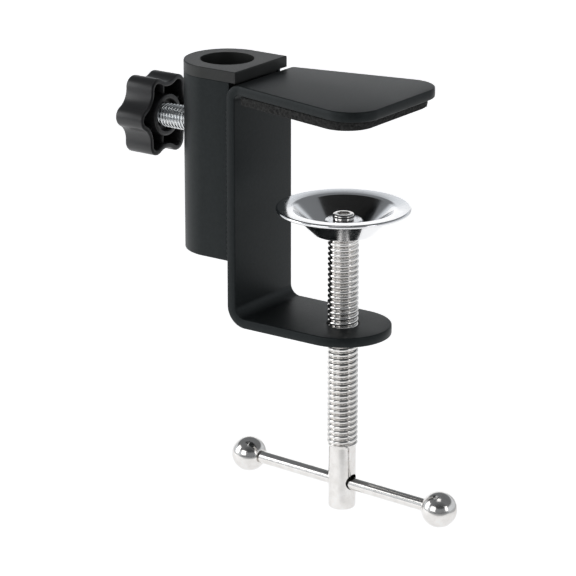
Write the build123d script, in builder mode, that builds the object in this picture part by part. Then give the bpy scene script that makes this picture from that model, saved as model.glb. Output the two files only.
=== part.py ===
"""Bench clamp with a post socket, the base of an embroidery hoop stand: a bent steel bracket that hooks over
a table top, a clamping screw with a swivelling cup and a sliding bar handle below, and a socket behind it,
locked by a star knob, for the stand's round post.

Units are millimetres. Z is up and X points from the table's edge in over the table. The origin is on the
clamping screw's axis, in the plane of the table top, which is the underside of the foam pad.
"""

import os
from math import cos, pi, radians, sin, sqrt, tan

from build123d import *

# ---------------------------------------------------------------- driving dimensions
# bracket, bent from one steel strip
web_margin = 1.6  # how far the web's sides stand out past the socket
strip_thickness = 3.2
bracket_height = 80.0
throat_depth = 31.3  # inner face of the web to the screw's axis
top_plate_reach = 22.6  # screw's axis to the front edge of the top plate
top_plate_flare = 12.0  # degrees that each side of the top plate leans out
flare_start = 5.0  # from the back of the web to where the flare begins
top_corner_radius = 10.0
flare_blend_radius = 8.0
top_bend_inner_radius = 1.8
bottom_bend_inner_radius = 3.6

# foam pad under the top plate
pad_thickness = 3.0
pad_side_inset = 0.4
pad_front_inset = 2.4
pad_web_gap = 2.2
tape_thickness = 0.15
tape_inset = 0.4  # inside the pad's outline

# clamping screw
screw_diameter = 10.0
screw_pitch = 1.75
screw_thread_length = 74.75
shank_diameter = 8.9
shank_length = 21.4
shank_end_chamfer = 0.7
bar_hole_above_end = 9.25

# cup on the screw's upper end
cup_drop = 31.7  # table top to the rim, as the clamp stands
cup_floor_width = 1.55  # round the hub
cup_wall_width = 8.5  # from the floor out to the mouth
cup_rim_width = 5.1
cup_depth = 9.0
cup_sheet = 1.0
cup_hem_thickness = 1.25
cup_hub_drop = 4.1  # rim to the top of the raised hub
cup_hub_clearance = 0.35  # round the screw, inside the hub
cup_spigot_diameter = 5.4  # the turned-down end that the cup swivels on
swivel_gap = 0.1

# screw that holds the cup
cup_screw_diameter = 4.0
cup_screw_length = 9.0
cup_screw_head_diameter = 7.1
cup_screw_head_height = 1.9
cup_screw_socket = 3.2  # across the flats
cup_screw_socket_depth = 1.3

# bar handle
bar_diameter = 4.1
bar_hole_clearance = 0.6
bar_half_length = 34.1
bar_nose_diameter = 2.9
bar_nose_length = 3.6
bar_turn = -4.0  # degrees that the handle stands off the X axis
ball_diameter = 11.6
ball_seat_diameter = 5.2

# post socket
post_bore_diameter = 17.5
sleeve_front_wall = 2.15  # between the bore and the web
sleeve_round_wall = 3.15
socket_wall = 2.0
socket_height = 59.0
sleeve_clearance = 0.1
flange_thickness = 3.6
flange_overhang = 2.4  # past the back of the web
flange_edge_radius = 0.3
weld_leg = 1.4
weld_top_gap = 8.0  # from the socket's top to where the weld starts

# star knob, its stud and the nut that the stud runs in
stud_diameter = 7.9
stud_pitch = 1.25
stud_below_top = 18.7
nut_wall = 1.25  # round the stud
nut_head_ledge = 1.0  # round the nut's shank
nut_head_reach = 1.6  # how far the head stands in from the socket's wall
knob_gap = 10.2  # socket to the open face of the knob
knob_thickness = 11.1
knob_lobes = 6
knob_tip_radius = 14.1
knob_valley_radius = 11.1
knob_lobe_radius = 3.6
knob_phase = -2.5
knob_wall = 1.6
knob_web = 2.2  # solid outer face
knob_back_fillet = 1.2
knob_boss_gap = 1.45  # between the stud and the boss's lip
knob_boss_lip = 1.5
knob_boss_recess = 2.0
knob_rib = 1.2
anchor_ledge = 1.35  # how far the stud's moulded-in head stands out from it
anchor_flats = 8
anchor_height = 4.0
shoe_diameter = 6.2
shoe_thickness = 1.8
shoe_nose_diameter = 3.0
shoe_nose_depth = 1.2
shoe_bore_gap = 0.25  # shoe to the post, when backed off

# fits
thread_clearance = 0.05  # radial, standing in for the flanks of a thread
running_clearance = 0.05

# ---------------------------------------------------------------- sizes and places worked out from them
post_radius = post_bore_diameter / 2
sleeve_radius = post_radius + sleeve_round_wall
socket_inner_radius = sleeve_radius + sleeve_clearance
socket_outer_radius = socket_inner_radius + socket_wall
half_strip = socket_outer_radius + web_margin

plate_under_z = pad_thickness + tape_thickness
bracket_top_z = plate_under_z + strip_thickness
bracket_bottom_z = bracket_top_z - bracket_height
floor_z = bracket_bottom_z + strip_thickness
web_inner_x = -throat_depth
web_back_x = web_inner_x - strip_thickness
flare_x = web_back_x + flare_start

rim_z = -cup_drop
hub_top_z = rim_z - cup_hub_drop
hub_under_z = hub_top_z - cup_sheet
screw_top_z = hub_under_z - swivel_gap
spigot_top_z = hub_top_z + swivel_gap
thread_end_z = screw_top_z - screw_thread_length
screw_end_z = thread_end_z - shank_length
bar_hole_z = screw_end_z + bar_hole_above_end
bar_hole_radius = bar_diameter / 2 + bar_hole_clearance
bar_z = bar_hole_z - bar_hole_clearance + running_clearance  # the bar lies on the bottom of its hole

post_x = web_back_x - post_radius - sleeve_front_wall - sleeve_clearance
socket_top_z = bracket_top_z
socket_bottom_z = socket_top_z - socket_height
stud_z = socket_top_z - stud_below_top
stud_radius = stud_diameter / 2
nut_shank_radius = stud_radius + nut_wall
nut_head_radius = nut_shank_radius + nut_head_ledge
anchor_apothem = stud_radius + anchor_ledge
knob_boss_radius = stud_radius + knob_boss_gap + knob_boss_lip

socket_back_x = post_x - socket_outer_radius
knob_face_x = socket_back_x - knob_gap
knob_back_x = knob_face_x - knob_thickness
shoe_front_x = post_x - post_radius - shoe_bore_gap
shoe_back_x = shoe_front_x - shoe_thickness
stud_tip_x = shoe_back_x - swivel_gap
anchor_x = knob_back_x + knob_web

bar_direction = (cos(radians(bar_turn)), sin(radians(bar_turn)), 0)
bar_plane = Plane(origin=(0, 0, bar_z), x_dir=(0, 0, 1), z_dir=bar_direction)
bar_hole_plane = Plane(origin=(0, 0, bar_hole_z), x_dir=(0, 0, 1), z_dir=bar_direction)
stud_plane = Plane(origin=(0, 0, stud_z), x_dir=(0, 1, 0), z_dir=(1, 0, 0))


def save(piece, name):
    """Labels a finished piece and writes its STEP file."""
    piece.label = name
    export_step(piece, f"parts/{name}.step")


def flared_outline(front_x, side_inset, start_x, corner):
    """Plan of the top plate, or of the pad, as a face: its sides lean out past flare_x to rounded corners."""

    def side_y(x):
        return side_inset - half_strip - max(0, x - flare_x) * tan(radians(top_plate_flare))

    points = [(x, side_y(x)) for x in (start_x, flare_x, front_x)] + [(front_x, 0)]
    radii = [flare_blend_radius, corner]
    if start_x >= flare_x:
        del points[1], radii[0]
    with BuildSketch() as plan:
        with BuildLine():
            side = FilletPolyline(*points, radius=radii)
            mirror(side, about=Plane.XZ)
            Line((start_x, -side_y(start_x)), (start_x, side_y(start_x)))
        make_face()
    return plan.sketch


def d_outline(radius, flat_x):
    """D-shaped plan as a face: a half circle about the post's axis, with sides on to a flat at flat_x."""
    with BuildSketch() as plan:
        with BuildLine():
            back = CenterArc((post_x, 0), radius, 90, 180)
            Polyline(back @ 1, (flat_x, -radius), (flat_x, radius), back @ 0)
        make_face()
    return plan.sketch


os.makedirs("parts", exist_ok=True)

# ---------------------------------------------------------------- bracket
# A C of even thickness, with a flared top plate and a round-ended lower plate tapped for the screw.
with BuildPart() as bracket:
    with BuildSketch(Plane.XZ):
        with BuildLine():
            outer = FilletPolyline(
                (flare_x + strip_thickness, bracket_top_z),
                (web_back_x, bracket_top_z),
                (web_back_x, bracket_bottom_z),
                (0, bracket_bottom_z),
                radius=[top_bend_inner_radius + strip_thickness, bottom_bend_inner_radius + strip_thickness],
            )
            inner = FilletPolyline(
                (flare_x + strip_thickness, plate_under_z),
                (web_inner_x, plate_under_z),
                (web_inner_x, floor_z),
                (0, floor_z),
                radius=[top_bend_inner_radius, bottom_bend_inner_radius],
            )
            Line(outer @ 0, inner @ 0)
            Line(outer @ 1, inner @ 1)
        make_face()
    extrude(amount=half_strip, both=True)
    with BuildSketch(Plane.XY.offset(bracket_bottom_z)):
        Circle(half_strip)
    extrude(amount=strip_thickness)
    with BuildSketch(Plane.XY.offset(plate_under_z)):
        add(flared_outline(top_plate_reach, 0, flare_x - flare_blend_radius / 4, top_corner_radius))
    extrude(amount=strip_thickness)
    with BuildSketch(Plane.XY.offset(floor_z)):
        Circle(screw_diameter / 2 + thread_clearance)
    extrude(amount=-strip_thickness, mode=Mode.SUBTRACT)
save(bracket.part, "bracket")

# ---------------------------------------------------------------- foam pad and its adhesive film
pad_front_x = top_plate_reach - pad_front_inset
pad_back_x = web_inner_x + pad_web_gap
with BuildPart() as table_pad:
    with BuildSketch(Plane.XY):
        add(flared_outline(pad_front_x, pad_side_inset, pad_back_x, top_corner_radius - pad_side_inset))
    extrude(amount=pad_thickness)
save(table_pad.part, "table_pad")

with BuildPart() as pad_tape:
    with BuildSketch(Plane.XY.offset(pad_thickness)):
        add(
            flared_outline(
                pad_front_x - tape_inset,
                pad_side_inset + tape_inset,
                pad_back_x + tape_inset,
                top_corner_radius - pad_side_inset - tape_inset,
            )
        )
    extrude(amount=tape_thickness)
save(pad_tape.part, "pad_tape")

# ---------------------------------------------------------------- socket shell and stud nut
# A U-shaped steel wrap, open towards the web, with a hole at the back for the pressed-in nut.
with BuildPart() as socket_shell:
    with BuildSketch(Plane.XY.offset(socket_bottom_z)):
        add(d_outline(socket_outer_radius, web_back_x))
        add(d_outline(socket_inner_radius, web_back_x), mode=Mode.SUBTRACT)
    extrude(amount=socket_height)
    with BuildSketch(stud_plane.offset(post_x)):
        Circle(nut_shank_radius)
    extrude(amount=-socket_outer_radius, mode=Mode.SUBTRACT)
save(socket_shell.part, "socket_shell")

# The nut's shank fills the hole and ends flush with the shell; its head lies against the wall inside.
nut_head_x = post_x - socket_inner_radius + nut_head_reach
with BuildPart() as stud_nut:
    with BuildSketch(stud_plane.offset(nut_head_x)):
        Circle(nut_head_radius)
    extrude(amount=-socket_wall)
    with BuildSketch(Plane.XY.offset(socket_bottom_z)):
        add(d_outline(socket_inner_radius, web_back_x))
    extrude(amount=socket_height, mode=Mode.INTERSECT)
    with BuildSketch(stud_plane.offset(nut_head_x)):
        Circle(nut_shank_radius)
    extrude(amount=-(nut_head_reach + socket_wall))
    with BuildSketch(Plane.XY.offset(socket_bottom_z)):
        add(d_outline(socket_outer_radius, web_back_x))
    extrude(amount=socket_height, mode=Mode.INTERSECT)
    with BuildSketch(stud_plane.offset(nut_head_x)):
        Circle(stud_radius + thread_clearance)
    extrude(amount=-socket_outer_radius, mode=Mode.SUBTRACT)
save(stud_nut.part, "stud_nut")

# ---------------------------------------------------------------- weld beads
# One fillet weld down each side of the shell, in the corner that it makes with the web.
with BuildPart() as weld_beads:
    with BuildSketch(Plane.XY.offset(socket_bottom_z)):
        with BuildLine():
            heel = (web_back_x, socket_outer_radius)
            toe_on_web = (web_back_x, socket_outer_radius + weld_leg)
            toe_on_shell = (web_back_x - weld_leg, socket_outer_radius)
            Line(toe_on_shell, heel)
            Line(heel, toe_on_web)
            RadiusArc(toe_on_web, toe_on_shell, 2 * weld_leg)
        make_face()
        mirror(about=Plane.XZ)
    extrude(amount=socket_height - weld_top_gap)
save(weld_beads.part, "weld_beads")

# ---------------------------------------------------------------- post sleeve
# A moulded liner with the post's bore, and a D-shaped flange that covers the shell's top.
with BuildPart() as post_sleeve:
    with BuildSketch(Plane.XY.offset(socket_bottom_z)):
        add(d_outline(sleeve_radius, web_back_x - sleeve_clearance))
    extrude(amount=socket_height)
    with BuildSketch(Plane.XY.offset(socket_top_z)):
        add(d_outline(socket_outer_radius, web_back_x + flange_overhang))
    extrude(amount=flange_thickness)
    fillet(post_sleeve.faces().sort_by(Axis.Z)[-1].edges(), flange_edge_radius)
    with BuildSketch(Plane.XY.offset(socket_top_z + flange_thickness)):
        with Locations((post_x, 0)):
            Circle(post_radius)
    extrude(amount=-(flange_thickness + socket_height), mode=Mode.SUBTRACT)
    with BuildSketch(stud_plane.offset(post_x)):
        Circle(nut_head_radius + sleeve_clearance)
    extrude(amount=-socket_outer_radius, mode=Mode.SUBTRACT)
save(post_sleeve.part, "post_sleeve")

# ---------------------------------------------------------------- clamping screw
with BuildPart() as clamp_screw:
    with BuildSketch(Plane.XY.offset(thread_end_z)):
        Circle(screw_diameter / 2)
    extrude(amount=screw_thread_length)
    chamfer(clamp_screw.faces().sort_by(Axis.Z)[-1].edges(), shank_end_chamfer)
    with BuildSketch(Plane.XY.offset(screw_end_z)):
        Circle(shank_diameter / 2)
    extrude(amount=shank_length)
    chamfer(clamp_screw.faces().sort_by(Axis.Z)[0].edges(), shank_end_chamfer)
    with BuildSketch(bar_hole_plane):
        Circle(bar_hole_radius)
    extrude(amount=shank_diameter, both=True, mode=Mode.SUBTRACT)
    with BuildSketch(Plane.XY.offset(screw_top_z)):
        Circle(cup_spigot_diameter / 2)
    extrude(amount=spigot_top_z - screw_top_z)
    with BuildSketch(Plane.XY.offset(spigot_top_z)):
        Circle(cup_screw_diameter / 2)
    extrude(amount=-cup_screw_length, mode=Mode.SUBTRACT)
save(clamp_screw.part, "clamp_screw")

# ---------------------------------------------------------------- cup
# Pressed from sheet: a hemmed rim, a sloping wall, a rounded floor and a raised hub over the screw's end.
hub_inner_radius = screw_diameter / 2 + cup_hub_clearance
hub_outer_radius = hub_inner_radius + cup_sheet
cup_floor_radius = hub_outer_radius + cup_floor_width
cup_mouth_radius = cup_floor_radius + cup_wall_width
cup_radius = cup_mouth_radius + cup_rim_width
floor_top_z = rim_z - cup_depth + cup_sheet
floor_under_z = rim_z - cup_depth
cup_hole_radius = cup_spigot_diameter / 2 + running_clearance
wall_lean = (cup_mouth_radius - cup_floor_radius) / (cup_depth - cup_sheet)
wall_across = cup_sheet * sqrt(1 + wall_lean**2)
with BuildPart() as cup:
    with BuildSketch(Plane.XZ) as cup_section:
        with BuildLine():
            FilletPolyline(
                (cup_hole_radius, hub_top_z),
                (hub_outer_radius, hub_top_z),
                (hub_outer_radius, floor_top_z),
                (cup_floor_radius, floor_top_z),
                (cup_mouth_radius, rim_z),
                (cup_radius, rim_z),
                (cup_radius, rim_z - cup_hem_thickness),
                (cup_radius - 2 * cup_hem_thickness, rim_z - cup_hem_thickness),
                (cup_radius - 2 * cup_hem_thickness, rim_z - cup_sheet),
                (cup_mouth_radius + wall_across - wall_lean * cup_sheet, rim_z - cup_sheet),
                (cup_floor_radius + wall_across - wall_lean * cup_sheet, floor_under_z),
                (hub_inner_radius, floor_under_z),
                (hub_inner_radius, hub_under_z),
                (cup_hole_radius, hub_under_z),
                radius=[0.8, 0.3, 0.5, 2.2, 0.6, 0.6, 0.1, 0.1, 1.2, 2.6, 0.5, 0.3],
            )
            Line(
                (cup_hole_radius, hub_under_z),
                (cup_hole_radius, hub_top_z),
            )
        make_face()
    revolve(axis=Axis.Z)
save(cup.part, "cup")

# ---------------------------------------------------------------- screw that holds the cup
head_top_z = spigot_top_z + cup_screw_head_height
with BuildPart() as cup_screw:
    with BuildSketch(Plane.XY.offset(spigot_top_z)):
        Circle(cup_screw_head_diameter / 2)
    extrude(amount=cup_screw_head_height)
    fillet(cup_screw.faces().sort_by(Axis.Z)[-1].edges(), cup_screw_head_height / 3)
    with BuildSketch(Plane.XY.offset(head_top_z)):
        RegularPolygon(cup_screw_socket / 2, 6, major_radius=False)
    extrude(amount=-cup_screw_socket_depth, mode=Mode.SUBTRACT)
    with BuildSketch(Plane.XY.offset(spigot_top_z)):
        Circle(cup_screw_diameter / 2)
    extrude(amount=-(cup_screw_length - 1))
save(cup_screw.part, "cup_screw")

# ---------------------------------------------------------------- bar handle
with BuildPart() as handle_bar:
    with BuildSketch(bar_plane.offset(-bar_half_length)):
        Circle(bar_diameter / 2)
    extrude(amount=2 * bar_half_length)
    chamfer(handle_bar.edges().filter_by(GeomType.CIRCLE), (bar_diameter - bar_nose_diameter) / 4)
    with BuildSketch(bar_plane):
        Circle(bar_nose_diameter / 2)
    extrude(amount=bar_half_length + bar_nose_length, both=True)
save(handle_bar.part, "handle_bar")

ball_radius = ball_diameter / 2
seat_from_centre = sqrt(ball_radius**2 - (ball_seat_diameter / 2) ** 2)
for name, side in (("handle_ball_rear", -1), ("handle_ball_front", 1)):
    seat = side * bar_half_length
    with BuildPart() as ball:
        with Locations(bar_plane.offset(seat + side * seat_from_centre)):
            Sphere(ball_radius)
        split(bisect_by=bar_plane.offset(seat), keep=Keep.TOP if side > 0 else Keep.BOTTOM)
        with BuildSketch(bar_plane.offset(seat)):
            Circle(bar_nose_diameter / 2)
        extrude(amount=side * bar_nose_length, mode=Mode.SUBTRACT)
    save(ball.part, name)


# ---------------------------------------------------------------- star knob
def star_outline():
    """Outline of the knob as a face: lobe arcs and valley arcs that meet each other smoothly."""
    lobe_centre = knob_tip_radius - knob_lobe_radius
    half_step = pi / knob_lobes
    valley_gain = knob_valley_radius + knob_lobe_radius
    # a valley circle stands valley_centre out, touches both neighbouring lobes and dips to the valley radius
    valley_centre = (lobe_centre**2 - (knob_lobe_radius - knob_valley_radius) ** 2) / (
        2 * (lobe_centre * cos(half_step) + knob_lobe_radius - knob_valley_radius)
    )
    valley_radius = valley_centre - knob_valley_radius
    share = knob_lobe_radius / (knob_lobe_radius + valley_radius)

    def polar(distance, angle):
        return Vector(distance * cos(angle), distance * sin(angle))

    with BuildSketch() as outline:
        with BuildLine():
            for k in range(knob_lobes):
                angle = radians(knob_phase) + 2 * half_step * k
                lobe = polar(lobe_centre, angle)
                before = lobe + (polar(valley_centre, angle - half_step) - lobe) * share
                after = lobe + (polar(valley_centre, angle + half_step) - lobe) * share
                next_lobe = polar(lobe_centre, angle + 2 * half_step)
                next_before = next_lobe + (polar(valley_centre, angle + half_step) - next_lobe) * share
                ThreePointArc(before, polar(knob_tip_radius, angle), after)
                ThreePointArc(after, polar(knob_valley_radius, angle + half_step), next_before)
        make_face()
    return outline.sketch


with BuildPart() as star_knob:
    with BuildSketch(stud_plane.offset(knob_back_x)):
        add(star_outline())
    extrude(amount=knob_thickness)
    fillet(star_knob.faces().sort_by(Axis.X)[0].edges(), knob_back_fillet)
    with BuildSketch(stud_plane.offset(knob_back_x + knob_web)):
        add(offset(star_outline(), amount=-knob_wall, mode=Mode.PRIVATE))
    extrude(amount=knob_thickness, mode=Mode.SUBTRACT)
    with BuildSketch(stud_plane.offset(knob_back_x + knob_web / 2)):
        Circle(knob_boss_radius)
    extrude(amount=knob_thickness - knob_web / 2)
    with BuildSketch(stud_plane.offset(knob_back_x + knob_web / 2)):
        rib_radius = knob_valley_radius - knob_wall / 2
        with PolarLocations(rib_radius / 2, knob_lobes, start_angle=knob_phase + 180 / knob_lobes):
            Rectangle(rib_radius, knob_rib)
    extrude(amount=knob_thickness - knob_web / 2 - knob_boss_recess)
    with BuildSketch(stud_plane.offset(knob_face_x)):
        Circle(knob_boss_radius - knob_boss_lip)
    extrude(amount=-knob_boss_recess, mode=Mode.SUBTRACT)
    # the stud's head is moulded in, so its pocket is the head's own shape, closed by the outer face
    with BuildSketch(stud_plane.offset(anchor_x)):
        RegularPolygon(anchor_apothem, anchor_flats, major_radius=False)
    extrude(amount=anchor_height, mode=Mode.SUBTRACT)
    with BuildSketch(stud_plane.offset(anchor_x)):
        Circle(stud_radius)
    extrude(amount=knob_thickness, mode=Mode.SUBTRACT)
save(star_knob.part, "star_knob")

with BuildPart() as knob_stud:
    with BuildSketch(stud_plane.offset(anchor_x)):
        RegularPolygon(anchor_apothem, anchor_flats, major_radius=False)
    extrude(amount=anchor_height)
    with BuildSketch(stud_plane.offset(anchor_x)):
        Circle(stud_radius)
    extrude(amount=stud_tip_x - anchor_x)
    chamfer(knob_stud.faces().sort_by(Axis.X)[-1].edges(), stud_pitch / 2)
    with BuildSketch(stud_plane.offset(stud_tip_x)):
        Circle(shoe_nose_diameter / 2)
    extrude(amount=shoe_nose_depth)
save(knob_stud.part, "knob_stud")

# ---------------------------------------------------------------- shoe on the stud's end
with BuildPart() as post_shoe:
    with BuildSketch(stud_plane.offset(shoe_back_x)):
        Circle(shoe_diameter / 2)
    extrude(amount=shoe_thickness)
    with BuildSketch(stud_plane.offset(shoe_back_x)):
        Circle(shoe_nose_diameter / 2 + running_clearance)
    extrude(amount=shoe_nose_depth, mode=Mode.SUBTRACT)
save(post_shoe.part, "post_shoe")
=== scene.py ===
from math import atan2, cos, pi, radians, sin, sqrt, tan
import bmesh
import bpy
import numpy as np
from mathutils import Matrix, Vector


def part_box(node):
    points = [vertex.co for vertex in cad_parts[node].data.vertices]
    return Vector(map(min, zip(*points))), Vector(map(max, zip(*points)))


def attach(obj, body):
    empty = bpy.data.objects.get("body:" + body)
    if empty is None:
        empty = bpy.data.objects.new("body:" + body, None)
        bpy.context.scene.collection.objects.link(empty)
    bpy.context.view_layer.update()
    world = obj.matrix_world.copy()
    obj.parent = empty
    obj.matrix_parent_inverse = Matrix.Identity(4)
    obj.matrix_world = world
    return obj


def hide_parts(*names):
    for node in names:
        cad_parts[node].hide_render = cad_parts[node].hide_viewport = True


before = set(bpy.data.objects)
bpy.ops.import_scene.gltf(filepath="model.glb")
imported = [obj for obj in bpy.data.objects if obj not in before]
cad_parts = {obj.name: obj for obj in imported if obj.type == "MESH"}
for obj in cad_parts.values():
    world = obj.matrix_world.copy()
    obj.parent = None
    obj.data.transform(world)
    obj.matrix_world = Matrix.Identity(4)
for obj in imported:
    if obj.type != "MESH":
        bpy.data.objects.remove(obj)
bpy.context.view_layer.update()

# -------------------------------------------------------------------------------- camera
# A long lens a metre away, a little above the clamp and to its right, looking at the top of the screw.
eye = Vector((0.5358, -0.7791, 0.2441))
sight = Vector((-0.5541, 0.7745, -0.3050))
lens = bpy.data.cameras.new("camera")
lens.lens = 194.9
lens.sensor_width = 36
lens.clip_end = 20
camera = bpy.data.objects.new("camera", lens)
camera.location = eye
camera.rotation_euler = sight.to_track_quat("-Z", "Y").to_euler()
bpy.context.scene.collection.objects.link(camera)
bpy.context.scene.camera = camera
bpy.context.scene.view_settings.view_transform = "Standard"


# -------------------------------------------------------------------------------- bracket
# The clamp's frame: one strip of 3.2 mm steel, cut to its outline, tapped for the screw and bent twice
# to a C. It is powder coated satin black after the socket is welded on, so every edge is softly rounded.
def mesh_piece(name, points, faces, crease=radians(40)):
    """A mesh object from points and faces, with doubles merged and every closed shell facing outwards."""
    mesh = bpy.data.meshes.new(name)
    mesh.from_pydata(np.asarray(points).reshape(-1, 3).tolist(), [], faces)
    shell = bmesh.new()
    shell.from_mesh(mesh)
    bmesh.ops.remove_doubles(shell, verts=shell.verts, dist=1e-6)
    bmesh.ops.recalc_face_normals(shell, faces=shell.faces)
    shell.to_mesh(mesh)
    shell.free()
    mesh.shade_smooth()
    mesh.set_sharp_from_angle(angle=crease)
    piece = bpy.data.objects.new(name, mesh)
    bpy.context.scene.collection.objects.link(piece)
    return piece


def cells(rows, columns, first=0, wrap_rows=False, wrap_columns=True):
    """The four-sided faces of a grid of rows by columns, numbered row by row from first."""
    r = np.arange(rows if wrap_rows else rows - 1)[:, None]
    c = np.arange(columns if wrap_columns else columns - 1)[None, :]
    r1, c1 = (r + 1) % rows, (c + 1) % columns
    corners = [r * columns + c, r * columns + c1, r1 * columns + c1, r1 * columns + c]
    return (first + np.stack(np.broadcast_arrays(*corners), -1).reshape(-1, 4)).tolist()


def rounded_path(corners, radii, steps=14):
    """Straight runs between corners, with each inner corner cut by an arc that touches both of its runs."""
    corners = [np.array(c, float) for c in corners]
    path = [corners[0]]
    for before, corner, after, radius in zip(corners, corners[1:], corners[2:], radii):
        a = (before - corner) / np.linalg.norm(before - corner)
        b = (after - corner) / np.linalg.norm(after - corner)
        half = np.arccos(np.clip(a @ b, -1, 1)) / 2
        centre = corner + (a + b) / np.linalg.norm(a + b) * radius / sin(half)
        start = corner + a * radius / tan(half) - centre
        end = corner + b * radius / tan(half) - centre
        sweep = pi - 2 * half
        t = np.linspace(0, 1, steps + 1)[:, None]
        path += list(centre + (start * np.sin((1 - t) * sweep) + end * np.sin(t * sweep)) / sin(sweep))
    return np.array(path + [corners[-1]])


def inset(loop, distance):
    """A closed plan loop moved inwards by a distance, each corner along its mitre."""
    along = np.roll(loop, -1, 0) - loop
    along /= np.linalg.norm(along, axis=1)[:, None]
    side = np.stack([-along[:, 1], along[:, 0]], 1)
    before = np.roll(side, 1, 0)
    mitre = (side + before) / (1 + (side * before).sum(1))[:, None]
    turn = np.sign((loop * np.roll(loop, -1, 0)[:, ::-1] * [1, -1]).sum())
    return loop + mitre * distance * turn


fan = 1.35  # the lines that run to a hole's rim start this many of its radii to each side of its centre


def bent_plate(name, s, high, low, middle, thickness, edge, hole, bend):
    """A flat plate cut to an outline, with rounded edges and one round hole, then bent.

    On the flat, s runs along the plate and its edges are at high(s) and low(s). Lines across the plate run
    from each edge to the line y = middle, or to the hole's rim. bend turns (s, y, height over the middle of
    the thickness) into a point in space. hole is (s, radius, chamfer) and its centre is on the middle line.
    """
    hole_s, hole_radius, chamfer = hole
    count = len(s)
    loop = np.concatenate([
        [[s[0], middle]],
        np.stack([s, high], 1),
        [[s[-1], middle]],
        np.stack([s, low], 1)[::-1],
    ])
    size = len(loop)
    reach = fan * hole_radius
    inside = np.abs(s - hole_s) <= reach * 1.0001
    turn = np.arccos(np.clip((s - hole_s) / reach, -1, 1))

    def rim(radius):
        """The loop's points carried in to a circle round the hole, and the rest to the middle line."""
        across = np.where(inside, radius * np.sin(turn), 0)
        shift = np.where(inside, hole_s + radius * np.cos(turn), s)
        upper = np.stack([shift, middle + across], 1)
        lower = np.stack([shift, middle - across], 1)
        return np.concatenate([upper[:1], upper, upper[-1:], lower[::-1]])

    half = thickness / 2
    rows = []
    for a in np.linspace(0, pi, 11):
        lift = (half - edge) * np.sign(cos(a)) * (abs(cos(a)) > 1e-6)
        rows.append((inset(loop, edge * (1 - sin(a))), lift + edge * cos(a)))
    # the ends of the middle line lie on the inset outline's ends
    beside_hole = np.concatenate([[False], inside, [False], inside[::-1]])
    middle_line = np.stack([rows[0][0][:, 0], np.full(size, middle)], 1)
    wide = np.where(beside_hole[:, None], rim(hole_radius + chamfer), middle_line)
    narrow = np.where(beside_hole[:, None], rim(hole_radius), middle_line)
    rows = [(narrow, half - chamfer), (wide, half)] + rows + [(wide, -half), (narrow, chamfer - half)]
    points = np.array([bend(plan[:, 0], plan[:, 1], np.full(size, height)) for plan, height in rows])

    total = len(rows)
    grid = np.array(cells(total, size, wrap_rows=True)).reshape(total, size, 4)
    # no faces where the middle line only meets itself, nor beside the two ends of it
    keep = np.ones((total, size), bool)
    keep[[0, total - 2, total - 1]] = beside_hole & np.roll(beside_hole, -1)
    for row in (1, total - 3):
        keep[row, [0, count, count + 1, size - 1]] = False
    return mesh_piece(name, points, grid[keep].tolist())


strip = 0.0032
half_strip = 0.0156
plate_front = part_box("bracket")[1].x
web_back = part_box("bracket")[0].x
plate_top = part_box("bracket")[1].z
plate_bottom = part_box("bracket")[0].z
top_bend = 0.0018 + strip / 2  # radii of the bends, at the middle of the strip
low_bend = 0.0036 + strip / 2
top_run = plate_front - (web_back + strip / 2 + top_bend)
web_run = plate_top - plate_bottom - strip - top_bend - low_bend
low_run = half_strip - (web_back + strip / 2 + low_bend)
flare = radians(12)
top_corner, flare_blend = 0.010, 0.008
soft_edge = 0.00045

top_arc, low_arc = top_bend * pi / 2, low_bend * pi / 2
web_start = top_run + top_arc
low_start = web_start + web_run + low_arc
screw_s = low_start + low_run - half_strip


def bend_bracket(s, y, lift):
    """Carries a flat point round the C: straight, quarter turn, straight, quarter turn, straight."""
    web_x, top_z, low_z = web_back + strip / 2, plate_top - strip / 2, plate_bottom + strip / 2
    turn = np.clip((s - top_run) / top_bend, 0, pi / 2)
    turn2 = np.clip((s - web_start - web_run) / low_bend, 0, pi / 2)
    before = s < web_start
    x = np.where(before, web_x + top_bend * (1 - np.sin(turn)) + np.maximum(top_run - s, 0), web_x)
    z = top_z - top_bend + np.where(before, top_bend * np.cos(turn), web_start - s)
    after = s > web_start + web_run
    x = np.where(after, web_x + low_bend * (1 - np.cos(turn2)) + np.maximum(s - low_start, 0), x)
    z = np.where(after, low_z + low_bend * (1 - np.sin(turn2)), z)
    facing = pi / 2 + turn + turn2
    return np.stack([x + lift * np.cos(facing), y, z + lift * np.sin(facing)], -1)


front_y = half_strip + top_run * tan(flare)
outline = rounded_path(
    [(0, 0), (0, front_y), (top_run, half_strip), (top_run + top_arc, half_strip)], [top_corner, flare_blend]
)[1:-1]
plate_hole, plate_hole_chamfer = 0.00505, 0.0004
hole_turn = np.linspace(pi, 0, 33)
hole_s = screw_s + fan * plate_hole * np.cos(hole_turn)
end_s = screw_s + half_strip * np.sin(np.linspace(0, radians(87), 40))
stations = np.unique(np.round(np.concatenate([
    outline[:, 0],
    np.linspace(outline[-1, 0], top_run, 3),
    top_run + top_arc * np.linspace(0, 1, 15),
    web_start + web_run * np.linspace(0, 1, 5),
    low_start - low_arc * np.linspace(0, 1, 17),
    np.linspace(low_start, hole_s[0], 4),
    hole_s,
    end_s[end_s > hole_s[-1]],
]), 9))
side_y = np.interp(stations, outline[:, 0], outline[:, 1])
round_y = np.sqrt(np.maximum(half_strip**2 - (stations - screw_s) ** 2, 0))
side_y = np.where(stations > screw_s, round_y, side_y)
bracket = bent_plate(
    "bracket_coated", stations, side_y, -side_y, 0, strip, soft_edge,
    (screw_s, plate_hole, plate_hole_chamfer), bend_bracket,
)


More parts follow.
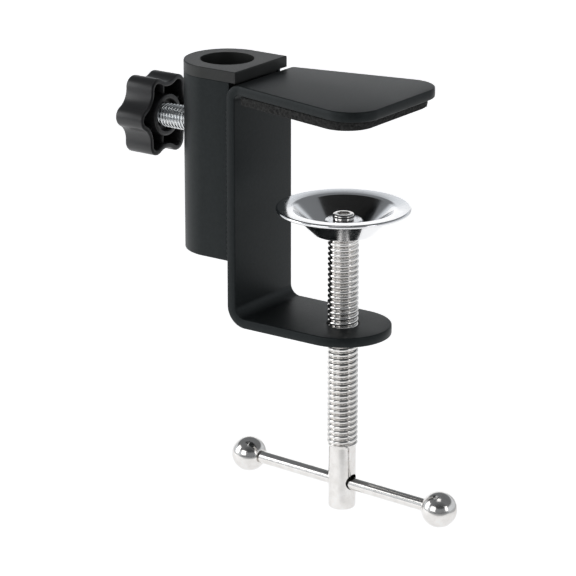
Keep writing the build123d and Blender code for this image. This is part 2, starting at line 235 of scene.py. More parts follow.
def finish_material(name, colour, metallic=0.0, roughness=0.4, specular=0.5):
    """A new material with its shader set, and its node tree, nodes, links and shader to build on."""
    material = bpy.data.materials.new(name)
    material.use_nodes = True
    tree = material.node_tree
    shader = tree.nodes["Principled BSDF"]
    shader.inputs["Base Color"].default_value = (*colour, 1)
    shader.inputs["Metallic"].default_value = metallic
    shader.inputs["Roughness"].default_value = roughness
    shader.inputs["Specular IOR Level"].default_value = specular
    return material, tree, shader


def grain(tree, scale, detail=3.0, stretch=(1, 1, 1)):
    """A noise that stands still on the piece, with scale given in grains for each metre."""
    place = tree.nodes.new("ShaderNodeTexCoord")
    mapping = tree.nodes.new("ShaderNodeMapping")
    mapping.inputs["Scale"].default_value = stretch
    noise = tree.nodes.new("ShaderNodeTexNoise")
    noise.inputs["Scale"].default_value = scale
    noise.inputs["Detail"].default_value = detail
    tree.links.new(place.outputs["Object"], mapping.inputs["Vector"])
    tree.links.new(mapping.outputs["Vector"], noise.inputs["Vector"])
    return noise


def spread(tree, source, socket, low, high):
    """Feeds a shader socket with a noise, stretched from its usual middle part to low and high."""
    ramp = tree.nodes.new("ShaderNodeMapRange")
    ramp.inputs["From Min"].default_value = 0.3
    ramp.inputs["From Max"].default_value = 0.7
    ramp.inputs["To Min"].default_value = low
    ramp.inputs["To Max"].default_value = high
    tree.links.new(source, ramp.inputs["Value"])
    tree.links.new(ramp.outputs["Result"], socket)


def relief(tree, shader, source, depth, strength=1.0, under=None):
    """Bumps the surface by a noise of the given depth in metres, over another bump if there is one."""
    bump = tree.nodes.new("ShaderNodeBump")
    bump.inputs["Distance"].default_value = depth
    bump.inputs["Strength"].default_value = strength
    tree.links.new(source, bump.inputs["Height"])
    if under:
        tree.links.new(under.outputs["Normal"], bump.inputs["Normal"])
    tree.links.new(bump.outputs["Normal"], shader.inputs["Normal"])
    return bump


def two_tone(tree, shader, source, dark, light):
    """Colours the surface between two near tones, by a noise."""
    ramp = tree.nodes.new("ShaderNodeValToRGB")
    ramp.color_ramp.elements[0].position = 0.3
    ramp.color_ramp.elements[1].position = 0.7
    ramp.color_ramp.elements[0].color = (*dark, 1)
    ramp.color_ramp.elements[1].color = (*light, 1)
    tree.links.new(source, ramp.inputs["Fac"])
    tree.links.new(ramp.outputs["Color"], shader.inputs["Base Color"])


powder, tree, shader = finish_material("powder_coat", (0.008, 0.009, 0.0095), roughness=0.44, specular=0.2)
peel = grain(tree, 900, 2)
speckle = grain(tree, 5200, 2)
two_tone(tree, shader, peel.outputs["Fac"], (0.0065, 0.0078, 0.0083), (0.0095, 0.011, 0.0115))
spread(tree, speckle.outputs["Fac"], shader.inputs["Roughness"], 0.40, 0.48)
first = relief(tree, shader, peel.outputs["Fac"], 0.00002, 0.6)
relief(tree, shader, speckle.outputs["Fac"], 0.000012, 0.5, under=first)
shader.inputs["Specular Tint"].default_value = (0.90, 1.0, 1.02, 1)
bracket.data.materials.append(powder)
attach(bracket, "bracket")
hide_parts("bracket")

# -------------------------------------------------------------------------------- foam pad
# A slab of black closed-cell foam, stuck under the top plate to spare the table. Its faces have a moulded
# skin, and its sides were sawn, so they show torn cells.
pad_low, pad_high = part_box("table_pad")
pad_margin = 0.0004
pad_corner = top_corner - pad_margin
flare_x = plate_front - top_run
pad_back_y = half_strip - pad_margin + (pad_low.x - flare_x) * tan(flare)
pad_front_y = half_strip - pad_margin + (pad_high.x - flare_x) * tan(flare)


def evenly(loop, count):
    """The closed loop of points walked again in count equal steps."""
    closed = np.concatenate([loop, loop[:1]])
    walked = np.concatenate([[0], np.cumsum(np.linalg.norm(np.diff(closed, axis=0), axis=1))])
    steps = np.linspace(0, walked[-1], count, endpoint=False)
    return np.stack([np.interp(steps, walked, closed[:, i]) for i in (0, 1)], 1)


def torn(rows, columns, depth, seed, blur):
    """Seeded noise on a grid that closes on itself along its rows, smoothed by blur and scaled to depth."""
    noise = np.random.default_rng(seed).normal(size=(rows, columns))
    for _ in range(blur):
        noise = (np.roll(noise, 1, 1) + 2 * noise + np.roll(noise, -1, 1)) / 4
        noise[1:-1] = (noise[:-2] + 2 * noise[1:-1] + noise[2:]) / 4
    return noise / noise.std() * depth


pad_rows, pad_columns = 15, 640
pad_half = rounded_path(
    [(pad_low.x, 0), (pad_low.x, -pad_back_y), (pad_high.x, -pad_front_y), (pad_high.x, 0)],
    [0.0006, pad_corner],
)
pad_loop = evenly(np.concatenate([pad_half[:-1], pad_half[::-1][:-1] * [1, -1]]), pad_columns)
pad_thick = pad_high.z - pad_low.z
pad_edge = 0.00035  # radius that the saw and the skin leave on the edges
sawn_in = 0.00012  # how far the sawn sides stand in from the outline, with the tears about them
rise = np.linspace(-1, 1, pad_rows)
into_edge = np.clip((abs(rise) * pad_thick / 2 - pad_thick / 2 + pad_edge) / pad_edge, 0, 1)
lean = pad_edge * (1 - np.sqrt(1 - into_edge**2))
tears = torn(pad_rows, pad_columns, 0.00007, 5, 1) + torn(pad_rows, pad_columns, 0.00007, 6, 4)
tears[[0, -1]] = 0
pad_points = np.array([
    np.column_stack([
        inset(pad_loop, lean[i] + sawn_in - tears[i][:, None]),
        np.full(pad_columns, pad_low.z + (rise[i] + 1) / 2 * pad_thick),
    ])
    for i in range(pad_rows)
])
pad_faces = cells(pad_rows, pad_columns)
pad_faces += [list(range(end, end + pad_columns)) for end in (0, (pad_rows - 1) * pad_columns)]
pad = mesh_piece("table_pad_foam", pad_points, pad_faces)
foam, tree, shader = finish_material("foam", (0.012, 0.012, 0.012), roughness=0.85, specular=0.25)
pores = tree.nodes.new("ShaderNodeTexVoronoi")
pores.inputs["Scale"].default_value = 1900
place = tree.nodes.new("ShaderNodeTexCoord")
tree.links.new(place.outputs["Object"], pores.inputs["Vector"])
fluff = grain(tree, 1400, 4)
two_tone(tree, shader, fluff.outputs["Fac"], (0.006, 0.006, 0.006), (0.030, 0.030, 0.029))
first = relief(tree, shader, pores.outputs["Distance"], 0.00012, 0.8)
relief(tree, shader, fluff.outputs["Fac"], 0.00010, 0.7, under=first)
pad.data.materials.append(foam)
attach(pad, "bracket")
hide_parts("table_pad")

# -------------------------------------------------------------------------------- adhesive film
# The thin double-sided film that holds the pad to the plate. Only its edge ever shows, so it keeps its plain
# shape and gets a dull grey finish.
film, tree, shader = finish_material("adhesive", (0.05, 0.05, 0.05), roughness=0.5)
streak = grain(tree, 700, 2)
spread(tree, streak.outputs["Fac"], shader.inputs["Roughness"], 0.4, 0.65)
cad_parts["pad_tape"].material_slots[0].material = film

# -------------------------------------------------------------------------------- post socket
# A U of 2 mm steel, folded round the post sleeve and welded to the back of the web. A threaded nut is pressed
# into the hole in its round back before it is coated with the bracket.
shell_low, shell_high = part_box("socket_shell")
shell_wall = 0.002
shell_radius = (shell_high.y - shell_low.y - shell_wall) / 2
post_x = shell_low.x + shell_radius + shell_wall / 2
flank = web_back - post_x
shell_length = 2 * flank + pi * shell_radius
stud_z = (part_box("stud_nut")[0].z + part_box("stud_nut")[1].z) / 2
nut_radius = 0.0052


def bend_shell(s, y, lift):
    """Carries a flat point round the U: along one flank, half a turn about the post, and back."""
    turn = np.clip((s - flank) / shell_radius, 0, pi)
    along = flank - np.minimum(s, flank) + np.maximum(s - flank - pi * shell_radius, 0)
    reach = shell_radius + lift
    return np.stack([post_x + along - reach * np.sin(turn), reach * np.cos(turn), y], -1)


turn_steps = flank + shell_radius * np.radians(np.arange(0, 181, 3))
shell_hole = shell_length / 2 + fan * nut_radius * np.cos(hole_turn)
stations = np.unique(np.round(np.concatenate([
    [0, flank / 2],
    turn_steps[abs(turn_steps - shell_length / 2) > (fan + 0.01) * nut_radius],
    shell_hole,
    [shell_length - flank / 2, shell_length],
]), 9))
level = np.ones(len(stations))
shell = bent_plate(
    "socket_shell_coated", stations, shell_high.z * level, shell_low.z * level, stud_z, shell_wall, 0.0004,
    (shell_length / 2, nut_radius, 0.0001), bend_shell,
)
shell.data.materials.append(powder)
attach(shell, "bracket")
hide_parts("socket_shell")
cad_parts["stud_nut"].material_slots[0].material = powder

# -------------------------------------------------------------------------------- weld beads
# The two fillets of weld that join the shell to the web, wiped smooth and coated over.
weld_low, weld_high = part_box("weld_beads")
flank_y = shell_high.y
leg = weld_high.y - flank_y
weld_rows = 240
climb = np.linspace(0, 1, weld_rows)
ripple = 1 + 0.06 * np.sin(climb * 190 + 0.9 * np.sin(climb * 31))  # about 30 overlapping puddles
taper = np.sqrt(np.clip(np.minimum(climb, 1 - climb) * 30, 0.02, 1))  # rounds off the two ends
swing = np.linspace(0, pi / 2, 9)
bow = 1.1 * leg * (0.80 + 0.10 * np.cos(4 * swing))  # the face of the fillet, a little hollow
out_x = np.outer(taper * ripple, bow * np.sin(swing))
out_y = np.outer(taper * ripple, bow * np.cos(swing))
heel = 0.0002  # how far the bead is melted into both pieces
weld_z = weld_low.z + climb * (weld_high.z - weld_low.z)
bead_x = np.column_stack([web_back + heel - out_x, np.full(weld_rows, web_back + heel)])
bead_y = np.column_stack([flank_y - heel + out_y, np.full(weld_rows, flank_y - heel)])
bead_z = np.broadcast_to(weld_z[:, None], bead_x.shape)
bead_columns = bead_x.shape[1]
bead_points, bead_faces = [], []
for k, side in enumerate((1, -1)):
    start = k * bead_x.size
    bead_points.append(np.stack([bead_x, bead_y * side, bead_z], -1).reshape(-1, 3))
    bead_faces += cells(weld_rows, bead_columns, start)
    ends = start, start + bead_x.size - bead_columns
    bead_faces += [list(range(end, end + bead_columns)) for end in ends]
beads = mesh_piece("weld_beads_coated", np.concatenate(bead_points), bead_faces, radians(60))
beads.data.materials.append(powder)
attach(beads, "bracket")
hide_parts("weld_beads")

# -------------------------------------------------------------------------------- post sleeve
# A moulded liner that the post slides in, with a D-shaped flange over the top of the shell. The CAD shape is
# right, so it keeps it and gets its plastic: matt, faintly grained, a little greyer than the coating.
plastic, tree, shader = finish_material(
    "sleeve_plastic", (0.015, 0.016, 0.015), roughness=0.45, specular=0.35
)
mould = grain(tree, 3000, 3)
cloud = grain(tree, 160, 2)
two_tone(tree, shader, cloud.outputs["Fac"], (0.012, 0.013, 0.012), (0.017, 0.018, 0.017))
spread(tree, mould.outputs["Fac"], shader.inputs["Roughness"], 0.40, 0.50)
relief(tree, shader, mould.outputs["Fac"], 0.000015, 0.5)
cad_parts["post_sleeve"].material_slots[0].material = plastic

# -------------------------------------------------------------------------------- clamping screw
# A long steel screw, rolled with a coarse right-hand thread, turned down to a plain shank at the bottom and
# cross-drilled for the handle. A short spigot on top carries the cup. Bright nickel plate.
screw_low, screw_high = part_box("clamp_screw")
crest = (screw_high.x - screw_low.x) / 2
pitch = 0.00175
root = crest - 0.00085
shank, shank_round = 0.00445, 0.0008
shank_top = screw_low.z + 0.0214
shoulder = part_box("cup")[1].z - 0.0052
spigot = 0.0027
bar_low, bar_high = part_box("handle_bar")
bar_turn = radians(-4)
bar_radius = 0.00205
bar_z = (bar_low.z + bar_high.z) / 2
drill = bar_radius + 0.0006
drill_z = bar_z + 0.00055


def thread_depth(turns, sharp):
    """How deep a thread is cut, for a place counted in turns: 0 on its round crest, 1 in its narrow root.

    off is the distance from the crest's middle, from 0 to 1, and the depth is an ellipse's fall,
    (1 - sqrt(1 - (sharp off)^2)) / (1 - sqrt(1 - sharp^2)).
    """
    off = np.abs((turns % 1) * 2 - 1)
    return (1 - np.sqrt(1 - (sharp * off) ** 2)) / (1 - sqrt(1 - sharp**2))


def fade(value, start, end):
    """Goes smoothly from 0 at start to 1 at end."""
    t = np.clip((value - start) / (end - start), 0, 1)
    return t * t * (3 - 2 * t)


drill_turn = np.arcsin(drill / shank * np.cos(np.linspace(pi, 0, 25)))
between = np.linspace(drill_turn[-1], pi + drill_turn[0], 37)[1:-1]
half_turn = np.concatenate([drill_turn, between])
angles = np.concatenate([half_turn, half_turn + pi])
columns = len(angles)
thread_rows = int((shoulder - shank_top) / pitch * 14)
heights = np.linspace(shoulder, shank_top, thread_rows)[:, None]
depth = thread_depth(heights / pitch - angles / (2 * pi), 0.95)
depth = depth * fade(heights, shank_top, shank_top + 0.0012)
body = crest - (crest - root) * depth
body -= 0.0008 * (1 - fade(shoulder - heights, 0, 0.0010))
body = shank + (body - shank) * fade(heights, shank_top, shank_top + 0.0009)
opening = np.sqrt(np.maximum(drill**2 - (shank * np.sin(angles)) ** 2, 0))
opening[[0, 24, columns // 2, columns // 2 + 24]] = 0
tip = screw_low.z
rows = [(0, screw_high.z), (spigot, screw_high.z), (spigot, shoulder)]
rows += [(body[i], heights[i]) for i in range(thread_rows)]
rows += [(shank, shank_top - 0.0004), (shank, shank_top - 0.003), (shank, drill_z + opening)]
hole_row = len(rows) - 1
rows += [(shank, drill_z - opening), (shank, tip + 0.003)]
rows += [
    (shank - shank_round * (1 - cos(a)), tip + shank_round * (1 - sin(a))) for a in np.linspace(0, pi / 2, 6)
]
rows += [(0, tip)]
screw_turn = angles + bar_turn
screw_points = np.array([
    np.stack([radius * np.cos(screw_turn), radius * np.sin(screw_turn), height + 0 * angles], -1)
    for radius, height in rows
])
grid = np.array(cells(len(rows), columns)).reshape(len(rows) - 1, columns, 4)
grid = np.delete(grid, hole_row, 0).reshape(-1, 4).tolist()
ring = np.linspace(0, 2 * pi, 48, endpoint=False)
reach = np.sqrt(shank**2 - (drill * np.cos(ring)) ** 2)
tunnel = np.array([
    np.stack([
        t * reach * cos(bar_turn) - drill * np.cos(ring) * sin(bar_turn),
        t * reach * sin(bar_turn) + drill * np.cos(ring) * cos(bar_turn),
        drill_z + drill * np.sin(ring),
    ], -1)
    for t in (1, 0.5, 0, -0.5, -1)
])
tunnel_cells = cells(5, 48, len(rows) * columns)
screw = mesh_piece(
    "clamp_screw_threaded", np.concatenate([screw_points.reshape(-1, 3), tunnel.reshape(-1, 3)]),
    grid + tunnel_cells, radians(75),
)
nickel, tree, shader = finish_material("nickel_plate", (0.70, 0.68, 0.66), metallic=1.0, roughness=0.14)
haze = grain(tree, 350, 3)
drawn = grain(tree, 2600, 2)
two_tone(tree, shader, haze.outputs["Fac"], (0.66, 0.64, 0.62), (0.75, 0.735, 0.72))
spread(tree, drawn.outputs["Fac"], shader.inputs["Roughness"], 0.10, 0.20)
waves = grain(tree, 230, 1, (1, 1, 0.4))  # the slight unevenness of a ground and plated shank
first = relief(tree, shader, waves.outputs["Fac"], 0.00010, 0.5)
relief(tree, shader, drawn.outputs["Fac"], 0.000003, 0.3, under=first)
screw.data.materials.append(nickel)
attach(screw, "screw")
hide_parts("clamp_screw")

# -------------------------------------------------------------------------------- cup
# Pressed from 1 mm sheet with a rolled hem, a sloping wall and a raised hub that swivels on the spigot.
# It is polished and chromed, so it mirrors its surroundings.
cup_low, cup_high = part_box("cup")
rim = cup_high.z


def turned(name, profile, sides=144, axis=(0, 0, 1), across=(1, 0, 0), centre=(0, 0, 0), crease=radians(40)):
    """A closed profile of (radius, distance along the axis) pairs, turned about the axis through centre."""
    axis, across, centre = (np.array(v, float) for v in (axis, across, centre))
    beside = np.cross(axis, across)
    turn = np.linspace(0, 2 * pi, sides, endpoint=False)
    direction = np.outer(np.cos(turn), across) + np.outer(np.sin(turn), beside)
    profile = np.asarray(profile, float)
    points = centre + profile[:, None, :1] * direction + profile[:, None, 1:] * axis
    return mesh_piece(name, points, cells(len(profile), sides), crease)


sheet = 0.001
cup_radius, mouth, cup_floor = 0.0215, 0.0164, 0.0079
hub, hub_inside, hub_bore = 0.00635, 0.00535, 0.00275
hub_top = rim - 0.0041
hem = 0.00125
mouth_top = rim - 0.0004  # the flange dips this far from its rim to the mouth
floor_top, floor_under = cup_low.z + sheet, cup_low.z
wall_slope = (mouth - cup_floor) / (rim - floor_top)
wall = sheet * sqrt(1 + wall_slope**2)
corners = [
    (hub_bore, hub_top), (hub, hub_top), (hub, floor_top), (cup_floor, floor_top), (mouth, mouth_top),
    (cup_radius, rim), (cup_radius, rim - hem), (cup_radius - 2 * hem, rim - hem),
    (cup_radius - 2 * hem, mouth_top - sheet), (mouth + wall - wall_slope * sheet, mouth_top - sheet),
    (cup_floor + wall, floor_under), (hub_inside, floor_under), (hub_inside, hub_top - sheet),
    (hub_bore, hub_top - sheet), (hub_bore, hub_top),
]
radii = [
    0.0008, 0.0003, 0.0005, 0.0022, 0.0006, 0.0006, 0.0001, 0.0001, 0.0012, 0.0026, 0.0005, 0.0003, 0.0001,
]
cup = turned("cup_chromed", rounded_path(corners, radii, 8), sides=160)
chrome, tree, shader = finish_material("polished_chrome", (0.80, 0.80, 0.81), metallic=1.0, roughness=0.12)
haze = grain(tree, 120, 3)
stretch_marks = grain(tree, 420, 2)  # left by the press
spread(tree, haze.outputs["Fac"], shader.inputs["Roughness"], 0.10, 0.19)
relief(tree, shader, stretch_marks.outputs["Fac"], 0.00001, 0.35)
cup.data.materials.append(chrome)
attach(cup, "cup")
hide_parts("cup")

# -------------------------------------------------------------------------------- cup screw
# The small socket-head screw that is driven into the spigot and holds the cup, with a hexagonal socket.
head_low, head_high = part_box("cup_screw")
head_radius = (head_high.x - head_low.x) / 2
head_under = hub_top + 0.0001
head_round = 0.0007
body_radius = 0.00195
socket_flat, socket_lip = 0.0018, 0.0002
head_turn = np.linspace(0, 2 * pi, 96, endpoint=False)


def hexagon(flat):
    """Distance to a hexagon's sides at each angle of head_turn, with its flats at the given distance."""
    return flat / np.cos((head_turn + pi / 6) % (pi / 3) - pi / 6)


socket = hexagon(socket_flat)
head_rows = [(0, head_low.z), (body_radius, head_low.z), (body_radius, head_under)]
head_rows += [(head_radius - 0.0002, head_under)]
head_rows += [
    (head_radius - head_round * (1 - cos(a)), head_high.z - head_round * (1 - sin(a)))
    for a in np.linspace(0, pi / 2, 7)
]
head_rows += [(socket + socket_lip, head_high.z), (socket, head_high.z - socket_lip),
              (socket, head_high.z - 0.0013), (0, head_high.z - 0.0016)]
head_points = np.array([
    np.stack([r * np.cos(head_turn), r * np.sin(head_turn), z + 0 * head_turn], -1) for r, z in head_rows
])
head_faces = cells(len(head_rows), len(head_turn))
cup_screw = mesh_piece("cup_screw_socket_head", head_points, head_faces, radians(30))
cup_screw.data.materials.append(nickel)
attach(cup_screw, "screw")
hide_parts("cup_screw")

# -------------------------------------------------------------------------------- handle
# A plain bar that slides through the shank, with a turned ball pressed on each end to keep it there.
bar_along = (cos(bar_turn), sin(bar_turn), 0)
bar_span = (bar_high.x - bar_low.x) / 2 / cos(bar_turn)
nose, nose_radius = 0.0036, 0.00145
seat = bar_span - nose
ball_radius = 0.0058
seat_radius = 0.0026
bar_end = [
    (bar_radius, seat - 0.0003), (bar_radius - 0.0003, seat), (nose_radius, seat), (nose_radius, bar_span),
    (0, bar_span),
]
bar_profile = [(r, -t) for r, t in reversed(bar_end)] + bar_end
bar = turned("handle_bar_plated", bar_profile, 64, bar_along, (0, 0, 1), (0, 0, bar_z))
bar.data.materials.append(nickel)
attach(bar, "handle")
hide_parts("handle_bar")

ball_centre = seat + sqrt(ball_radius**2 - seat_radius**2)
seat_angle = np.arcsin(seat_radius / ball_radius)
for name, side in (("handle_ball_rear", -1), ("handle_ball_front", 1)):
    swing = np.linspace(pi - seat_angle, 0, 60)
    ball_profile = [(0, bar_span), (nose_radius, bar_span), (nose_radius, seat), (seat_radius - 0.0002, seat)]
    ball_profile += [(ball_radius * sin(a), ball_centre + ball_radius * cos(a)) for a in swing]
    ball_profile = [(r, side * t) for r, t in ball_profile]
    ball = turned(name + "_turned", ball_profile, 96, bar_along, (0, 0, 1), (0, 0, bar_z), radians(35))
    ball.data.materials.append(nickel)
    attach(ball, "handle")
    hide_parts(name)

# -------------------------------------------------------------------------------- star knob
# A six-lobed knob moulded in black plastic, closed outside and hollow towards the socket, with a boss round
# the stud. Its shape is all arcs: lobes that curve out, and valleys that curve in and meet them smoothly.
knob_low, knob_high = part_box("star_knob")
lobes = 6
knob_phase = radians(-2.5)
knob_tip, knob_valley, lobe_radius = 0.0141, 0.0111, 0.0036
knob_wall, knob_solid = 0.0016, 0.0022
boss, boss_hollow, boss_recess, stud_radius = 0.0069, 0.0054, 0.0020, 0.00395
lobe_centre = knob_tip - lobe_radius
half_step = pi / lobes
dip = lobe_radius - knob_valley
valley_centre = (lobe_centre**2 - dip**2) / (2 * (lobe_centre * cos(half_step) + dip))
valley_radius = valley_centre - knob_valley
lobe_swing = atan2(valley_centre * sin(half_step), valley_centre * cos(half_step) - lobe_centre)
valley_swing = lobe_swing - half_step


def star(shrink=0.0, steps=16):
    """The knob's outline moved in by shrink, as (y, z) pairs: a lobe arc and a valley arc for each lobe."""
    a = np.linspace(-lobe_swing, lobe_swing, steps, endpoint=False)
    lobe = lobe_centre + (lobe_radius - shrink) * np.exp(1j * a)
    b = np.linspace(valley_swing, -valley_swing, steps, endpoint=False)
    valley = (valley_centre - (valley_radius + shrink) * np.exp(1j * b)) * np.exp(1j * half_step)
    around = np.exp(1j * (knob_phase + 2 * half_step * np.arange(lobes)))
    points = (around[:, None] * np.concatenate([lobe, valley])).ravel()
    return np.stack([points.real, points.imag], -1)


outer = star()
around = np.arctan2(outer[:, 1], outer[:, 0])


def ring_of(radius):
    """A circle with a point in the direction of each point of the star's outline."""
    return radius * np.stack([np.cos(around), np.sin(around)], -1)


back, face = knob_low.x, knob_high.x
floor_x = back + knob_solid
back_round, rim_radius, foot, boss_round = 0.0012, 0.0004, 0.0004, 0.0003
quarter = np.linspace(0, pi / 2, 8)
dish = back + 0.0002  # the shallow round dish in the knob's outer face
loops = [(ring_of(0), dish), (ring_of(0.0060), dish), (ring_of(0.0066), back), (star(0.0030), back)]
loops += [(star(back_round * (1 - sin(a))), back + back_round * (1 - cos(a))) for a in quarter]
loops += [(star(rim_radius * (1 - cos(a))), face - rim_radius * (1 - sin(a))) for a in quarter[::2]]
loops += [
    (star(knob_wall - rim_radius * (1 - sin(a))), face - rim_radius * (1 - cos(a))) for a in quarter[::2]
]
loops += [(star(knob_wall + foot * (1 - cos(a))), floor_x + foot * (1 - sin(a))) for a in quarter[::2]]
loops += [(ring_of(boss + foot * (1 - sin(a))), floor_x + foot * (1 - cos(a))) for a in quarter[::2]]
loops += [(ring_of(boss - boss_round * (1 - cos(a))), face - boss_round * (1 - sin(a))) for a in quarter[::2]]
loops += [
    (ring_of(boss_hollow + boss_round * (1 - sin(a))), face - boss_round * (1 - cos(a))) for a in quarter[::2]
]
loops += [
    (ring_of(boss_hollow), face - boss_recess), (ring_of(stud_radius), face - boss_recess),
    (ring_of(0), face - boss_recess - 0.0004),
]
knob_points = np.concatenate([
    np.column_stack([np.full(len(outer), x), loop + [0, stud_z]]) for loop, x in loops
])
knob_faces = cells(len(loops), len(outer))

# six ribs brace the boss to the valleys of the wall; both of their ends are sunk into what they join
rib, rib_soft, sunk = 0.0006, 0.0002, 0.0003
rib_top, rib_foot = face - boss_recess, floor_x - 0.0002
rib_across = np.array([rib, rib, rib - rib_soft, rib_soft - rib, -rib, -rib])
rib_x = np.array([rib_foot, rib_top - rib_soft, rib_top, rib_top, rib_top - rib_soft, rib_foot])
rib_turn = np.exp(1j * (knob_phase + (2 * np.arange(lobes) + 1) * half_step))[:, None, None]
rib_reach = np.array([boss - sunk, knob_valley - knob_wall + sunk])[None, :, None]
rib_place = rib_turn * (rib_reach + 1j * rib_across)
rib_points = np.stack([np.broadcast_to(rib_x, rib_place.shape), rib_place.real, stud_z + rib_place.imag], -1)
for k in range(lobes):
    start = len(knob_points) + 12 * k
    knob_faces += cells(2, 6, start) + [list(range(start, start + 6)), list(range(start + 6, start + 12))]
knob_points = np.concatenate([knob_points, rib_points.reshape(-1, 3)])
knob = mesh_piece("star_knob_moulded", knob_points, knob_faces, radians(50))
knob_plastic, tree, shader = finish_material("knob_plastic", (0.016, 0.016, 0.017), roughness=0.36)
mould = grain(tree, 2200, 3)
flow = grain(tree, 220, 3, (0.35, 1, 1))
two_tone(tree, shader, flow.outputs["Fac"], (0.014, 0.014, 0.015), (0.019, 0.019, 0.020))
spread(tree, mould.outputs["Fac"], shader.inputs["Roughness"], 0.32, 0.42)
relief(tree, shader, mould.outputs["Fac"], 0.000012, 0.4)
knob.data.materials.append(knob_plastic)
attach(knob, "knob")
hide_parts("star_knob")

# -------------------------------------------------------------------------------- knob stud
# A zinc-plated stud, its head moulded into the knob, its thread running in the socket's nut.
stud_low, stud_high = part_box("knob_stud")
stud_pitch = 0.00125
stud_root = stud_radius - 0.00066
stud_nose = 0.0015  # radius of the plain end that carries the shoe
stud_from, stud_to = face - boss_recess - 0.0002, stud_high.x - 0.0012
stud_rows = int((stud_to - stud_from) / stud_pitch * 12)
places = np.linspace(stud_from, stud_to, stud_rows)[:, None]
stud_turn = np.linspace(0, 2 * pi, 80, endpoint=False)
depth = thread_depth(places / stud_pitch - stud_turn / (2 * pi), 0.88)
body = stud_radius - (stud_radius - stud_root) * depth - 0.0006 * fade(places, stud_to - 0.0007, stud_to)
rows = [(0, stud_from), (0.0036, stud_from)]
rows += [(body[i], places[i]) for i in range(stud_rows)]
rows += [(stud_nose, stud_to), (stud_nose, stud_high.x), (0, stud_high.x)]
stud_points = np.array([
    np.stack([x + 0 * stud_turn, r * np.cos(stud_turn), stud_z + r * np.sin(stud_turn)], -1) for r, x in rows
])
stud = mesh_piece("knob_stud_threaded", stud_points, cells(len(rows), len(stud_turn)), radians(75))
zinc, tree, shader = finish_material("zinc_plate", (0.78, 0.80, 0.81), metallic=1.0, roughness=0.2)
haze = grain(tree, 500, 3)
two_tone(tree, shader, haze.outputs["Fac"], (0.72, 0.75, 0.77), (0.84, 0.85, 0.85))
spread(tree, haze.outputs["Fac"], shader.inputs["Roughness"], 0.16, 0.28)
stud.data.materials.append(zinc)
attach(stud, "knob")
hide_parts("knob_stud")

# -------------------------------------------------------------------------------- post shoe
# A nylon button on the stud's end, which presses on the post without marking it. It keeps its CAD shape.
nylon, tree, shader = finish_material("nylon", (0.62, 0.61, 0.57), roughness=0.5)
cloud = grain(tree, 900, 3)
two_tone(tree, shader, cloud.outputs["Fac"], (0.56, 0.55, 0.51), (0.66, 0.65, 0.61))
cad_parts["post_shoe"].material_slots[0].material = nylon

# -------------------------------------------------------------------------------- floor and light
# A pale floor well below the clamp, curved up behind it, that also glows by its own emission: painted light.
# The
# light is soft: a surround that is white round the horizon and dim overhead and behind the camera, with large
# panels for broad highlights in bright metal.
floor_z = -0.30
facing = np.array([0.567, -0.824])  # the way that the clamp is looked at from, on plan
profile = rounded_path([(1.6, floor_z), (-2.2, floor_z), (-2.2, 0.62)], [0.6], 24)
across = np.linspace(-1.8, 1.8, 2)
sweep = np.array([
    [(facing[0] * d - facing[1] * w, facing[1] * d + facing[0] * w, h) for w in across] for d, h in profile
])
floor = mesh_piece("floor", sweep, cells(len(profile), 2, wrap_columns=False))
glowing_paper, tree, shader = finish_material("white_paper_painted_glow", (0.90, 0.90, 0.90), roughness=0.9, specular=0.1)
# The paper glows by its own emission, with the strength worked out below: painted light, not a lamp.
shader.inputs["Emission Color"].default_value = (1, 1, 1, 1)
place = tree.nodes.new("ShaderNodeTexCoord")
painted_glow = None
# The painted glow is dimmed three ways: a little round the spot beneath the clamp, a faint painted shadow; to
# nothing towards the camera, a painted dark band for the bright metal to mirror; and to 0.3 along one side.
for operation, vector, values in (
    ("LENGTH", None, (0.10, 0.32, 0.0, 0.70)),
    ("DOT_PRODUCT", facing, (0.40, 0.60, 1.0, 0.0)),
    ("DOT_PRODUCT", (-facing[1], facing[0]), (0.62, 0.85, 1.0, 0.30)),
):
    measure = tree.nodes.new("ShaderNodeVectorMath")
    measure.operation = operation
    if vector is not None:
        measure.inputs[1].default_value = (*vector, 0)
    fall = tree.nodes.new("ShaderNodeMapRange")
    fall.interpolation_type = "SMOOTHSTEP"
    for socket, value in zip(("From Min", "From Max", "To Min", "To Max"), values):
        fall.inputs[socket].default_value = value
    tree.links.new(place.outputs["Object"], measure.inputs[0])
    tree.links.new(measure.outputs["Value"], fall.inputs["Value"])
    if painted_glow is None:
        painted_glow = fall.outputs["Result"]
    else:
        product = tree.nodes.new("ShaderNodeMath")
        product.operation = "MULTIPLY"
        tree.links.new(painted_glow, product.inputs[0])
        tree.links.new(fall.outputs["Result"], product.inputs[1])
        painted_glow = product.outputs["Value"]
tree.links.new(painted_glow, shader.inputs["Emission Strength"])
floor.data.materials.append(glowing_paper)

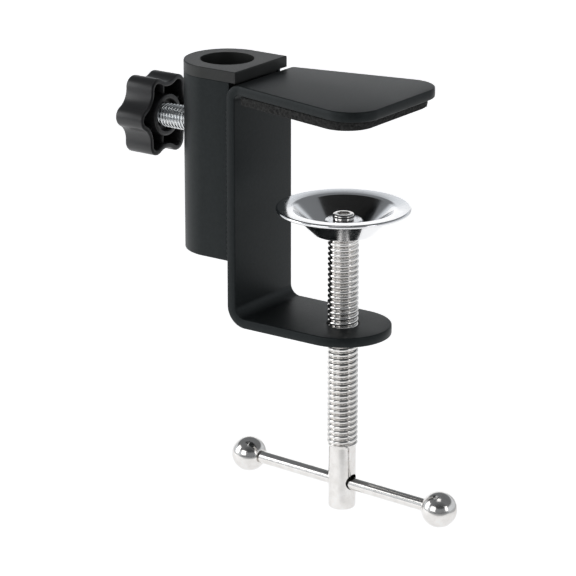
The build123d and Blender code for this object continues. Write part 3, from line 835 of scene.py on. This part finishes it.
world = bpy.data.worlds.new("surround")
bpy.context.scene.world = world
world.use_nodes = True
nodes, links = world.node_tree.nodes, world.node_tree.links
place = nodes.new("ShaderNodeTexCoord")
split = nodes.new("ShaderNodeSeparateXYZ")
sky = nodes.new("ShaderNodeValToRGB")
stops = [(0.0, 0.30), (0.45, 0.50), (0.50, 0.80), (0.67, 0.85), (0.73, 0.20), (1.0, 0.20)]
while len(sky.color_ramp.elements) < len(stops):
    sky.color_ramp.elements.new(0.5)
for element, (position, value) in zip(sky.color_ramp.elements, stops):
    element.position = position
    element.color = (value * 0.95, value * 0.99, value * 1.03, 1)
height = nodes.new("ShaderNodeMapRange")
height.inputs["From Min"].default_value = -1
links.new(place.outputs["Generated"], split.inputs["Vector"])
links.new(split.outputs["Z"], height.inputs["Value"])
links.new(height.outputs["Result"], sky.inputs["Fac"])
links.new(sky.outputs["Color"], nodes["Background"].inputs["Color"])
front = nodes.new("ShaderNodeVectorMath")
front.operation = "DOT_PRODUCT"
front.inputs[1].default_value = (*facing, 0)
dim = nodes.new("ShaderNodeMapRange")
dim.interpolation_type = "SMOOTHSTEP"
for socket, value in (("From Min", 0.3), ("From Max", 0.85), ("To Min", 1.0), ("To Max", 0.35)):
    dim.inputs[socket].default_value = value
links.new(place.outputs["Generated"], front.inputs[0])
links.new(front.outputs["Value"], dim.inputs["Value"])
links.new(dim.outputs["Result"], nodes["Background"].inputs["Strength"])


def panel(name, place, target, width, height, power, colour=(1, 1, 1)):
    """A soft rectangular light at a place, facing a target, its power in watts."""
    light = bpy.data.lights.new(name, "AREA")
    light.shape = "RECTANGLE"
    light.size, light.size_y = width, height
    light.energy = power
    light.color = colour
    lamp = bpy.data.objects.new(name, light)
    lamp.location = place
    lamp.rotation_euler = (Vector(target) - Vector(place)).to_track_quat("-Z", "Y").to_euler()
    bpy.context.scene.collection.objects.link(lamp)
    return lamp


panel("left_panel", (-1.1, -0.7, 0.35), (0, 0, -0.05), 0.6, 0.9, 4.4)
panel("front_panel", (-0.12, -1.05, 0.24), (0, 0, -0.05), 0.6, 0.55, 1.9)
panel("right_panel", (1.2, -0.15, 0.30), (0, 0, -0.05), 0.34, 0.6, 1.2)
panel("top_panel", (0.1, -0.2, 1.3), (0, 0, -0.05), 0.5, 0.5, 1.1)
